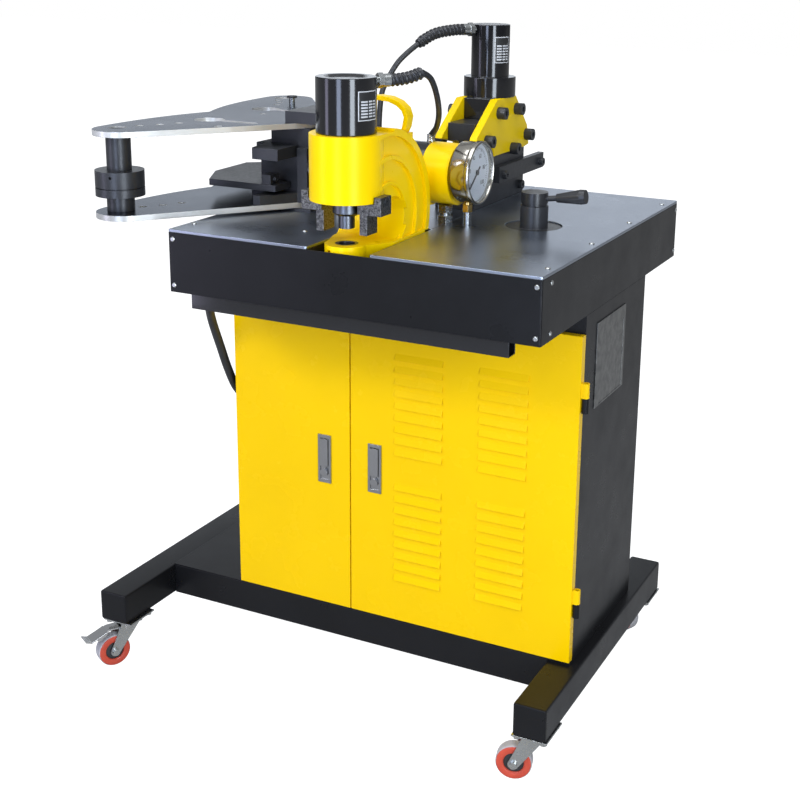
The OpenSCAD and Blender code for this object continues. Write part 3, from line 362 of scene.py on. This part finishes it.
def metal(name, colour, shade, rough, stretch, scale, bump, edge=0.0008, metallic=1.0, spots=9):
    """Metal with fine lines (stretch, scale and bump) over a slow cloud (spots) of two colours."""
    finish, tree, shader = start_finish(name, colour, metallic)
    place = place_node(tree, stretch)
    lines = noise_node(tree, place, scale, 4, 0.65)
    cloud = noise_node(tree, place_node(tree), spots, 4)
    link(tree, mix_colours(tree, cloud, colour, shade), shader.inputs["Base Color"])
    both = tree.nodes.new("ShaderNodeMath")
    both.operation = "ADD"
    link(tree, lines, both.inputs[0])
    link(tree, cloud, both.inputs[1])
    link(tree, range_node(tree, both.outputs[0], *rough, 0.7, 1.3), shader.inputs["Roughness"])
    round_and_bump(tree, shader, lines, bump, metal_depth, edge)
    return finish


ground_sheet = metal("ground_sheet_steel", (0.32, 0.36, 0.43), (0.38, 0.42, 0.49), (0.26, 0.36),
                     (1, 26, 1), 30, 0.12)
plated = metal("plated_plate_steel", (0.19, 0.205, 0.23), (0.24, 0.255, 0.28), (0.20, 0.26),
               plain, 8, 0.01, 0.0006)
plated_shader = plated.node_tree.nodes["Principled BSDF"]
plated_shader.inputs["Specular Tint"].default_value = (0.60, 0.61, 0.63, 1)
plate_edge = metal("plate_edge_steel", (0.46, 0.45, 0.42), (0.80, 0.79, 0.76), (0.28, 0.42),
                   (1, 1, 9), 60, 0.2, 0.0006, metallic=0.45, spots=5)
tool_steel = metal("tool_steel", (0.10, 0.105, 0.12), (0.15, 0.16, 0.18), (0.26, 0.42),
                   (1, 1, 4), 90, 0.2)
cast_steel = metal("cast_steel", (0.03, 0.03, 0.03), (0.30, 0.30, 0.29), (0.30, 0.5),
                   plain, 200, 0.5, spots=330)
lock_steel = metal("lock_steel", (0.30, 0.30, 0.30), (0.38, 0.38, 0.38), (0.18, 0.28),
                   plain, 120, 0.1)
gauge_steel = metal("gauge_steel", (0.46, 0.43, 0.37), (0.54, 0.51, 0.44), (0.14, 0.22),
                    plain, 60, 0.04)
black_oxide = metal("black_oxide_steel", (0.030, 0.031, 0.034), (0.048, 0.049, 0.053),
                    (0.30, 0.44), plain, 160, 0.2, metallic=0.35)
zinc = metal("zinc_plate", (0.42, 0.43, 0.42), (0.52, 0.53, 0.52), (0.22, 0.36), plain, 220, 0.2)
bright_chrome = metal("bright_chrome", (0.60, 0.60, 0.60), (0.68, 0.68, 0.68), (0.08, 0.14),
                      plain, 60, 0.03)
plate_satin = metal("nameplate_satin", (0.16, 0.16, 0.16), (0.30, 0.30, 0.29), (0.36, 0.46),
                    plain, 160, 0.1, spots=70)
brass = metal("brass_fitting", (0.62, 0.44, 0.16), (0.72, 0.52, 0.2), (0.18, 0.3),
              (1, 1, 3), 120, 0.1)
print("paints and metals made:", len(bpy.data.materials))


# %% Rubber, plastic and glass
fine_grain = dict(scale=300, bump=0.03)


def soft_surface(name, colour, shade, rough, scale=250, bump=0.3):
    finish, tree, shader = start_finish(name, colour)
    place = place_node(tree)
    bloom = mix_colours(tree, noise_node(tree, place, 30, 4), colour, shade)
    link(tree, bloom, shader.inputs["Base Color"])
    link(tree, range_node(tree, noise_node(tree, place, 50, 4), *rough), shader.inputs["Roughness"])
    round_and_bump(tree, shader, noise_node(tree, place, scale, 3), bump, 0.0003, 0.0006)
    return finish


hose_rubber = soft_surface("hose_rubber", (0.012, 0.012, 0.013), (0.022, 0.022, 0.023),
                           (0.38, 0.52))
sleeve_black = soft_surface("sleeve_black", (0.016, 0.016, 0.017), (0.026, 0.026, 0.028),
                            (0.32, 0.46))
lever_black = soft_surface("lever_black", (0.014, 0.014, 0.015), (0.022, 0.022, 0.024),
                           (0.30, 0.42))
wheel_red = soft_surface("wheel_red", (0.50, 0.055, 0.028), (0.60, 0.075, 0.035), (0.34, 0.46))
tread_grey = soft_surface("tread_grey", (0.42, 0.40, 0.40), (0.52, 0.50, 0.50), (0.42, 0.56))
hub_black = soft_surface("hub_black", (0.015, 0.015, 0.016), (0.03, 0.03, 0.03), (0.34, 0.5))
dial_white = soft_surface("dial_white", (0.74, 0.79, 0.86), (0.80, 0.85, 0.91), (0.3, 0.4),
                          **fine_grain)
ink_black = soft_surface("ink_black", (0.015, 0.015, 0.015), (0.02, 0.02, 0.02), (0.4, 0.5),
                         **fine_grain)
label_white = soft_surface("label_white", (0.55, 0.55, 0.55), (0.62, 0.62, 0.62), (0.4, 0.5),
                           **fine_grain)

gauge_glass, tree, shader = start_finish("gauge_glass", (1, 1, 1), 0.0, 0.02)
shader.inputs["Transmission Weight"].default_value = 1.0
shader.inputs["IOR"].default_value = 1.3
place = place_node(tree)
link(tree, range_node(tree, noise_node(tree, place, 30, 3), 0.01, 0.05), shader.inputs["Roughness"])
print("all finishes:", len(bpy.data.materials))

# %% [markdown]
# ## Dress the solids
# Each solid keeps its shape and gets its finish. The list below goes through the machine
# from the floor up.

# %% Give each solid its finish
finishes = {
    "foot_left": satin_black, "foot_right": satin_black, "crossmembers": satin_black,
    "deck_plate": satin_black, "castor_plates": zinc, "brake_pedal_fl": bright_chrome,
    "cabinet_shell": satin_black, "door_left": door_yellow, "door_right": door_yellow,
    "door_hinges": satin_black, "lock_left": lock_steel, "lock_right": lock_steel,
    "nameplate": plate_satin, "table_skirt": satin_black, "under_strip": gloss_black,
    "sheet_left": ground_sheet, "sheet_right": ground_sheet, "table_screws": zinc,
    "punch_body": punch_yellow, "punch_cylinder": gloss_black, "punch_handle": punch_yellow,
    "stripper": cast_steel, "stripper_screws": black_oxide, "punch_ram": tool_steel,
    "die_ring": tool_steel, "gauge_case": gauge_steel, "gauge_dial": dial_white,
    "gauge_pointer": ink_black, "gauge_stem": brass, "gauge_pipe": zinc,
    "shear_cylinder": gloss_black, "shear_plates": shear_yellow, "shear_bolts": black_oxide,
    "shear_ram": black_oxide, "shear_body": black_oxide, "shear_guide": black_oxide,
    "bend_plate_lower": plated, "bend_plate_upper": plated, "bend_pin": black_oxide,
    "bend_roller": black_oxide, "bend_head": black_oxide, "bend_ram": black_oxide,
    "bend_housing": punch_yellow, "bend_cylinder": gloss_black, "selector_post": black_oxide,
    "selector_lever": lever_black, "power_unit": tank_grey, "hose_couplers": zinc,
    "hose_sleeves": sleeve_black}
for corner in ("fl", "fr", "rl", "rr"):
    finishes["castor_fork_" + corner] = zinc
    finishes["castor_wheel_" + corner] = wheel_red


def dress(piece, finish):
    piece.data.materials.clear()
    piece.data.materials.append(finish)


for name, finish in finishes.items():
    dress(frame["nodes"][name], finish)
for name in ("punch_hose", "shear_hose", "supply_hose"):
    dress(frame["nodes"][name], hose_rubber)
    dress(hoses[name][0], hose_rubber)


def dress_part(piece, finish, low, high):
    """Give a second finish to the faces whose middle lies in a box of millimetres."""
    piece.data.materials.append(finish)
    slot, low, high = len(piece.data.materials) - 1, at(*low), at(*high)
    for face in piece.data.polygons:
        if all(low[k] < face.center[k] < high[k] for k in range(3)):
            face.material_index = slot


lock_half_width, lock_front_y, door_skin_y = 14, -170, -160.61
for side, lock_x in (("left", -148), ("right", -43.5)):
    lock_low = (lock_x - lock_half_width, lock_front_y, 394)
    lock_high = (lock_x + lock_half_width, door_skin_y, 488)
    dress_part(frame["nodes"]["door_" + side], lock_steel, lock_low, lock_high)
dress_part(frame["nodes"]["bend_pin"], zinc, (-406, 130, 1042), (-390, 150, 1054.9))
print("dressed", len(finishes), "solids")

# %% [markdown]
# ## Helpers for modelling pieces
# Each new piece is modelled at its place, then its turn and size are applied so that its
# object sits at the origin, like a solid of the model. Round pieces are turned: a half
# outline is drawn once and spun about its axis, as on a lathe.

# %% Selecting, settling and riding
body_of = {n: b for b, ns in record["behaviour"]["bodies"].items() for n in ns}


def select_only(*pieces):
    if bpy.context.object and bpy.context.object.mode != "OBJECT":
        bpy.ops.object.mode_set(mode="OBJECT")
    bpy.ops.object.select_all(action="DESELECT")
    for piece in pieces:
        piece.hide_viewport = False
        piece.select_set(True)
    bpy.context.view_layer.objects.active = pieces[0]


def settle(piece, finish, body="base", replaces=(), smooth=35):
    select_only(piece)
    bpy.ops.object.transform_apply(location=True, rotation=True, scale=True)
    if smooth:
        bpy.ops.object.shade_smooth_by_angle(angle=math.radians(smooth))
    if finish:
        dress(piece, finish)
    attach(piece, body)
    if replaces:
        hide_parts(*replaces)
    return piece


def face_along(piece, place, direction):
    """Stand a piece that was made along +Z on a place, looking along a direction."""
    turned = Matrix.Identity(4)
    if tuple(direction) != (0, 0, 1):
        turned = Vector(direction).to_track_quat("Z", "Y").to_matrix().to_4x4()
    piece.matrix_world = Matrix.Translation(place) @ turned


# %% Turn a piece on a lathe
def turn_on_lathe(name, outline, place, direction, steps=64, angle=360.0, start=0.0):
    """Spin an outline of (radius, height) in millimetres about +Z, then stand it in place."""
    mesh = bpy.data.meshes.new(name)
    a = math.radians(start)
    points = [(r / 1000 * math.cos(a), r / 1000 * math.sin(a), h / 1000) for r, h in outline]
    mesh.from_pydata(points, [(i, i + 1) for i in range(len(points) - 1)], [])
    piece = bpy.data.objects.new(name, mesh)
    scene.collection.objects.link(piece)
    select_only(piece)
    bpy.ops.object.mode_set(mode="EDIT")
    bpy.ops.mesh.select_all(action="SELECT")
    bpy.ops.mesh.spin(steps=steps, angle=-math.radians(angle), center=(0, 0, 0), axis=(0, 0, 1))
    bpy.ops.mesh.select_all(action="SELECT")
    bpy.ops.mesh.remove_doubles(threshold=1e-6)
    if angle < 360:
        bpy.ops.mesh.select_all(action="DESELECT")
        bpy.ops.mesh.select_non_manifold()
        bpy.ops.mesh.fill_holes(sides=12)
    bpy.ops.mesh.select_all(action="SELECT")
    bpy.ops.mesh.normals_make_consistent(inside=False)
    bpy.ops.object.mode_set(mode="OBJECT")
    face_along(piece, place, direction)
    return piece


# %% Soften the edges of a solid
def soften(node, radius):
    """A copy of a solid with its sharp edges rounded over by a small radius in metres."""
    piece = bpy.data.objects.new(node + "_rounded", frame["nodes"][node].data.copy())
    scene.collection.objects.link(piece)
    select_only(piece)
    bpy.ops.mesh.customdata_custom_splitnormals_clear()
    bpy.ops.object.mode_set(mode="EDIT")
    bpy.ops.mesh.select_all(action="SELECT")
    bpy.ops.mesh.remove_doubles(threshold=1e-5)
    bpy.ops.mesh.dissolve_limited(angle_limit=math.radians(1))
    bpy.ops.object.mode_set(mode="OBJECT")
    bevel = piece.modifiers.new("edges", "BEVEL")
    bevel.width = radius
    bevel.segments = 2
    bevel.limit_method = "ANGLE"
    bevel.angle_limit = math.radians(40)
    bpy.ops.object.modifier_apply(modifier=bevel.name)
    bpy.ops.object.shade_smooth_by_angle(angle=math.radians(35))
    flatter = piece.modifiers.new("flat_faces", "WEIGHTED_NORMAL")
    flatter.keep_sharp = True
    bpy.ops.object.modifier_apply(modifier=flatter.name)
    return settle(piece, finishes[node], body_of[node], [node], smooth=0)


# %% [markdown]
# ## Rounded sheet metal and blocks
# Folded sheet, tube and machined blocks all have a small round or a broken edge, and it is
# this edge that catches the light. Each such solid is copied, its flat triangles are
# joined to whole faces, and a bevel rounds the edges. Weighted normals then keep the big
# faces flat in mirror images. The wing plates get a paler cut edge as a second finish.

# %% Round the edges of folded and machined pieces
edge_radius = {
    "foot_left": 0.0040, "foot_right": 0.0040, "crossmembers": 0.0035, "table_skirt": 0.0020,
    "under_strip": 0.0020, "sheet_left": 0.0010, "sheet_right": 0.0010, "punch_handle": 0.0016,
    "stripper": 0.0012, "shear_plates": 0.0010, "shear_body": 0.0012, "shear_ram": 0.0010,
    "bend_plate_lower": 0.0010, "bend_plate_upper": 0.0010, "bend_head": 0.0012,
    "bend_ram": 0.0012, "nameplate": 0.0004, "punch_cylinder": 0.0016, "shear_cylinder": 0.0014,
    "bend_roller": 0.0012, "die_ring": 0.0008, "selector_post": 0.0012, "brake_pedal_fl": 0.0006}
for node, radius in edge_radius.items():
    piece = soften(node, radius)
    if node.startswith("bend_plate"):
        piece.data.materials.append(plate_edge)
        for face in piece.data.polygons:
            if abs(face.normal.z) < 0.5:
                face.material_index = 1
    print(piece.name, len(piece.data.polygons), "faces")

# %% [markdown]
# ## Spiral sleeves on the hoses
# A black spiral guard covers the first stretch of each hose so that it doesn't kink at the
# coupler. It is a tube with a fat cord wound round it. The winding is worked out along the
# same smooth line, so that its turns stay square to the hose.

# %% Wind a guard along a line
def wind(line, radius, pitch):
    """Points on a spiral round a line."""
    per_turn = 14
    total = length_of(line)
    count = int(total / pitch * per_turn)
    spiral, side = [], None
    for i in range(count + 1):
        want, walked, k = total * i / count, 0.0, 0
        while k < len(line) - 2 and walked + (line[k + 1] - line[k]).length < want:
            walked += (line[k + 1] - line[k]).length
            k += 1
        step = line[k + 1] - line[k]
        ahead = step.normalized()
        here = line[k] + ahead * (want - walked)
        side = (Vector((0, 0, 1)) if side is None else side)
        side = (side - side.dot(ahead) * ahead).normalized()
        turn_angle = 2 * math.pi * i / per_turn
        spiral.append(here + radius * (math.cos(turn_angle) * side
                                       + math.sin(turn_angle) * ahead.cross(side)))
    return spiral


def tube_mesh(name, line, radius, resolution=3):
    piece = make_hose(name, line, radius * 2)
    piece.data.bevel_resolution = resolution
    select_only(piece)
    bpy.ops.object.convert(target="MESH")
    return bpy.context.active_object


sleeve_routes = {
    "punch": [(28.2, -246.4, 1147.5), (38, -234, 1148), (51, -218, 1151), (64, -202, 1158)],
    "shear": [(-29.1, 147.2, 1203.5), (-40, 130, 1203), (-62, 97, 1197), (-80, 66, 1180)]}
sleeves = {}
for unit_name, route in sleeve_routes.items():
    line = smooth_line(route, 6)
    inner = tube_mesh(unit_name + "_sleeve_tube", line, 0.0086)
    coil = tube_mesh(unit_name + "_sleeve_coil", wind(line[1:-1], 0.0078, 0.0078), 0.0030, 2)
    select_only(inner, coil)
    bpy.ops.object.join()
    sleeves[unit_name] = settle(inner, sleeve_black, "base", ["hose_sleeves"])
    print(inner.name, len(inner.data.polygons), "faces")

# %% Go through the hoses and their sleeves
for name, sleeve in (("punch_hose", sleeves["punch"]), ("shear_hose", sleeves["shear"]),
                     ("supply_hose", None)):
    hose, line, diameter = hoses[name]

# %% Crimped ends
def crimp(name, place, direction, radius, length):
    outline = [(0, 0), (radius - 0.8, 0), (radius, 0.8)]
    groove = radius - 0.9
    for k in range(3):
        z = length * (0.2 + 0.25 * k)
        outline += [(radius, z), (groove, z + 1.2), (groove, z + 2.6), (radius, z + 3.8)]
    outline += [(radius, length - 1), (radius - 1, length), (0, length)]
    return settle(turn_on_lathe(name, outline, place, direction, 32), zinc)


crimp("punch_hose_crimp", at(6, -50, 1023), (0, 0, 1), 7.4, 13)
crimp("shear_hose_crimp", at(-132, 20, 914), (0, 0, 1), 8.0, 24)
crimp("supply_hose_crimp", at(-322, -262, 849.5), (0, 0, -1), 11.5, 30)

# %% [markdown]
# ## Castor wheels
# Each wheel is a pale tread round a red ring, with a black hub. All three are turned from
# outlines of (radius, place along the axle) in millimetres and stood up on the axle of
# their castor, which is where the wheel's spin joint lies.

# %% Turn the wheels
tread_outline = [(28.0, -10.2), (30.4, -10.6), (31.2, -9.4), (31.5, -7.0), (31.5, 7.0),
                 (31.2, 9.4), (30.4, 10.6), (28.0, 10.2), (28.0, -10.2)]
core_outline = [(17.4, -9.4), (18.2, -11.2), (19.6, -12.0), (27.6, -12.2), (29.6, -11.6),
                (30.2, -10.4), (28.4, -9.8), (28.4, 9.8), (30.2, 10.4), (29.6, 11.6),
                (27.6, 12.2), (19.6, 12.0), (18.2, 11.2), (17.4, 9.4), (17.4, -9.4)]
cap_outline = [(4.1, -12.9), (7.6, -12.9), (8.5, -12.2), (8.5, -10.4), (17.8, -9.2),
               (17.8, 9.2), (8.5, 10.4), (8.5, 12.2), (7.6, 12.9), (4.1, 12.9), (4.1, -12.9)]
rings = (("_tread", tread_outline, 56, tread_grey), ("_core", core_outline, 56, wheel_red),
         ("_cap", cap_outline, 32, hub_black))
for corner in ("fl", "fr", "rl", "rr"):
    spin = [j for j in frame["joints"] if j["name"] == "spin_" + corner][0]
    place, axis = Vector(spin["pos_m"]), Vector(spin["axis"])
    body, node = "wheel_" + corner, "castor_wheel_" + corner
    for part, outline, steps, finish in rings:
        ring = turn_on_lathe(body + part, outline, place, axis, steps)
        settle(ring, finish, body, [node])
print("wheels turned")

# %% [markdown]
# ## The pressure gauge
# The case is a turned steel cup with a rolled bezel. Behind the glass lie the white dial,
# its scale and the pointer. The scale is modelled as thin marks: one mark is made, and
# copies of it are turned round the dial. The numbers are plain figures.

# %% Turn the case and the glass
gauge_low, gauge_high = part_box("gauge_case")
gauge_axis = Vector((gauge_low.x, (gauge_low.y + gauge_high.y) / 2,
                     (gauge_low.z + gauge_high.z) / 2))
case_outline = [(0, 0), (48, 0), (51.5, 1.2), (53, 4), (53, 27.8), (54.2, 28.6), (55, 30),
                (55, 35.4), (54.2, 37.2), (52.6, 38), (51.2, 37.8), (50.2, 36.6), (49.8, 34.8),
                (49.8, 25), (0, 25)]
gauge_shell = turn_on_lathe("gauge_shell", case_outline, gauge_axis, (1, 0, 0), 96)
settle(gauge_shell, gauge_steel, "base", ["gauge_case"])
glass_outline = [(0, 33.2), (49.7, 33.2), (49.7, 34.6), (30, 35.0), (0, 35.2)]
glass_disc = turn_on_lathe("gauge_glass_disc", glass_outline, gauge_axis, (1, 0, 0), 64)
settle(glass_disc, gauge_glass)
dial_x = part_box("gauge_dial")[1].x
print("gauge axis", gauge_axis, "dial face at", dial_x)

# %% Mark the dial
zero_angle, full_angle = 222.0, -42.0
marks = []


def dial_mark(fraction, inner, outer, width):
    angle = math.radians(zero_angle + (full_angle - zero_angle) * fraction)
    middle_r = (inner + outer) / 2000
    bpy.ops.mesh.primitive_cube_add(size=1, location=(0, 0, 0))
    mark = bpy.context.active_object
    mark.scale = (0.0002, (outer - inner) / 1000, width / 1000)
    mark.rotation_euler = (angle, 0, 0)
    mark.location = (dial_x + 0.0001, gauge_axis.y + middle_r * math.cos(angle),
                     gauge_axis.z + middle_r * math.sin(angle))
    marks.append(mark)


for k in range(51):
    dial_mark(k / 50, 37.5 if k % 5 == 0 else 40.0, 43.5, 1.1 if k % 10 == 0 else 0.6)
bpy.ops.object.select_all(action="DESELECT")
select_only(*marks)
bpy.ops.object.join()
scale_marks = bpy.context.active_object
scale_marks.name = "gauge_scale_marks"
settle(scale_marks, ink_black, smooth=0)


def dial_figure(words, size, y, z):
    bpy.ops.object.text_add(location=(0, 0, 0))
    figure = bpy.context.active_object
    figure.data.body = words
    figure.data.align_x, figure.data.align_y = "CENTER", "CENTER"
    figure.data.size = size
    figure.data.extrude = 0.0001
    select_only(figure)
    bpy.ops.object.convert(target="MESH")
    figure = bpy.context.active_object
    upright = Matrix(((0, 0, 1), (1, 0, 0), (0, 1, 0))).to_4x4()
    figure.matrix_world = Matrix.Translation((dial_x + 0.0001, y, z)) @ upright
    select_only(figure)
    bpy.ops.object.transform_apply(location=True, rotation=True, scale=True)
    return figure


figures, figure_size, figure_circle = [], 0.0105, 0.0295
for k in range(6):
    angle = math.radians(zero_angle + (full_angle - zero_angle) * k / 5)
    figure_y = gauge_axis.y + figure_circle * math.cos(angle)
    figure_z = gauge_axis.z + figure_circle * math.sin(angle)
    figures.append(dial_figure(str(20 * k), figure_size, figure_y, figure_z))
select_only(*figures)
bpy.ops.object.join()
figures[0].name = "gauge_figures"
settle(bpy.context.active_object, ink_black, smooth=0)
print("dial marks", len(marks), "figures", len(figures))

# %% [markdown]
# ## Data labels
# The two upright cylinders carry a dark label with pale rows. The rows are left blank. A
# label is bent round its cylinder, so it is a thin ring sector that is spun through part
# of a turn, and its rows are thinner sectors lying on it.

# %% Bend the labels round the cylinders
shear_cylinder_axis = at(5, 199, 0)


def bent_patch(name, node, radius, low, high, start, sweep, rise, finish):
    """A thin ring sector on an upright cylinder, between two heights in millimetres."""
    low_corner, high_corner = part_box(node)
    middle_x = (low_corner.x + high_corner.x) / 2
    middle_y = (low_corner.y + high_corner.y) / 2
    if node == "shear_cylinder":
        middle_x, middle_y = shear_cylinder_axis.xy
    inner, outer = radius - 0.3, radius + rise
    ring = [(inner, low), (outer, low), (outer, high), (inner, high), (inner, low)]
    steps = max(2, int(sweep / 5))
    foot = Vector((middle_x, middle_y, lift))
    patch = turn_on_lathe(name, ring, foot, (0, 0, 1), steps, sweep, start)
    settle(patch, finish)


def cylinder_label(prefix, node, radius, low, high, start, sweep):
    bent_patch(prefix + "_label_border", node, radius, low, high, start, sweep, 0.25,
               label_white)
    edge = 100 / radius
    bent_patch(prefix + "_label_field", node, radius, low + 1.6, high - 1.6, start + edge,
               sweep - 2 * edge, 0.4, ink_black)
    rows = 6
    pitch = (high - low - 18) / rows
    for k in range(rows):
        z = low + 5 + k * pitch
        for c, (left, wide) in enumerate(((0.12, 0.30), (0.48, 0.20), (0.73, 0.16))):
            bent_patch(f"{prefix}_label_row_{k}_{c}", node, radius, z, z + pitch * 0.55,
                       start + sweep * left, sweep * wide, 0.55, label_white)


cylinder_label("punch", "punch_cylinder", 48.4, 1091, 1137, -38, 50)
cylinder_label("shear", "shear_cylinder", 36.0, 1143, 1191, -54, 56)
print("labels bent")

# %% [markdown]
# ## Finish
# The scene is brought up to date and the size of what it shows is printed.

# %% Close the lesson
bpy.context.view_layer.update()
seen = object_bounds()
print("visual box", [round(v, 4) for v in seen[0]], [round(v, 4) for v in seen[1]])
